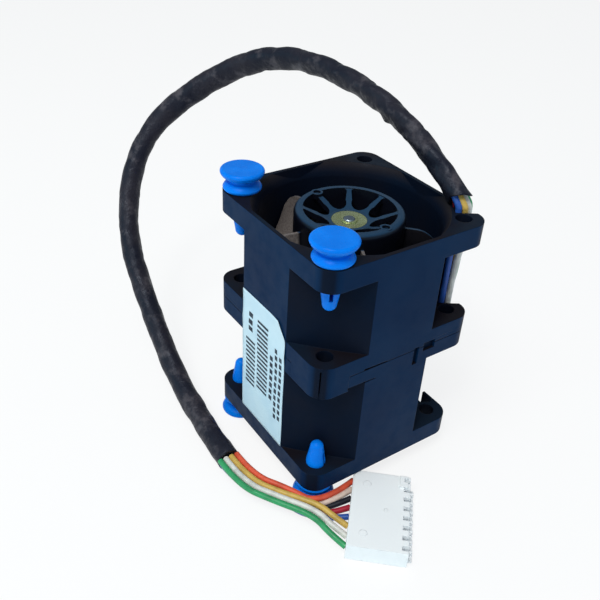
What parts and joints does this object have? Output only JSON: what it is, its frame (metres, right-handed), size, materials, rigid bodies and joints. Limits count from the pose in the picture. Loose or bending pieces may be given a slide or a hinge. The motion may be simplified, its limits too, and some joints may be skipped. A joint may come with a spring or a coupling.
{
  "type": "server fan module",
  "caption": "Axial server fan module: counter-rotating impellers in black frames clipped end to end, blue spool-headed mounting pins and a sleeved lead ending in a flat white plug.",
  "frame": {"origin": "on the fan axis, at the level of the lower pins' heads, the lowest point", "axes": "+Z along the fan axis towards the mouth with the lead notch; the label faces -X and the snap clip side faces -Y"},
  "size_m": [0.0532, 0.1133, 0.08],
  "materials": {
    "frame_plastic": "satin black moulding with a blue-grey sheen",
    "blade_plastic": "satin black moulding",
    "yoke_steel": "drawn, zinc plated",
    "magnet": "bonded ferrite, matte",
    "brass": "turned",
    "shaft_steel": "ground",
    "spring_steel": "hardened",
    "bearing_steel": "ground",
    "core_steel": "stacked laminations",
    "insulator_plastic": "moulded",
    "winding": "enamelled wire",
    "board_green": "solder mask",
    "chip_black": "moulded",
    "pin_rubber": "smooth, satin",
    "label_paper": "coated paper, satin",
    "sleeve_plastic": "shrunk tubing, slightly wrinkled",
    "lead_black": "insulated wire",
    "lead_green": "insulated wire",
    "lead_white": "insulated wire",
    "lead_yellow": "insulated wire",
    "lead_blue": "insulated wire",
    "lead_red": "insulated wire",
    "lead_peach": "insulated wire",
    "lead_orange": "insulated wire",
    "plug_plastic": "moulded, natural white",
    "terminal_metal": "tin plated"
  },
  "bodies": {
    "housing": {"upper_frame": "frame_plastic", "lower_frame": "frame_plastic", "upper_bearing_tube": "brass", "upper_bearings": "bearing_steel", "upper_stator_core": "core_steel", "upper_insulator": "insulator_plastic", "upper_coils": "winding", "upper_circuit_board": "board_green", "upper_board_parts": "chip_black", "upper_leads": "lead_black", "lower_bearing_tube": "brass", "lower_bearings": "bearing_steel", "lower_stator_core": "core_steel", "lower_insulator": "insulator_plastic", "lower_coils": "winding", "lower_circuit_board": "board_green", "lower_board_parts": "chip_black", "lower_leads": "lead_black", "upper_pin_left": "pin_rubber", "upper_pin_front": "pin_rubber", "lower_pin_left": "pin_rubber", "lower_pin_front": "pin_rubber", "label": "label_paper", "sleeve": "sleeve_plastic", "plug_lead_1": "lead_green", "plug_lead_2": "lead_white", "plug_lead_3": "lead_yellow", "plug_lead_4": "lead_blue", "plug_lead_5": "lead_red", "plug_lead_6": "lead_black", "plug_lead_7": "lead_peach", "plug_lead_8": "lead_orange", "plug_housing": "plug_plastic", "terminals": "terminal_metal"},
    "upper_rotor": {"upper_impeller": "blade_plastic", "upper_yoke": "yoke_steel", "upper_magnet": "magnet", "upper_bushing": "brass", "upper_shaft": "shaft_steel", "upper_retaining_clip": "spring_steel", "upper_preload_spring": "spring_steel"},
    "lower_rotor": {"lower_impeller": "blade_plastic", "lower_yoke": "yoke_steel", "lower_magnet": "magnet", "lower_bushing": "brass", "lower_shaft": "shaft_steel", "lower_retaining_clip": "spring_steel", "lower_preload_spring": "spring_steel"}
  },
  "joints": [
    {"name": "upper_spin", "type": "hinge", "parent": "housing", "child": "upper_rotor", "pos_m": [0, 0, 0.0569], "axis": [0, 0, 1], "continuous": true},
    {"name": "lower_spin", "type": "hinge", "parent": "housing", "child": "lower_rotor", "pos_m": [0, 0, 0.0083], "axis": [0, 0, 1], "continuous": true}
  ]
}
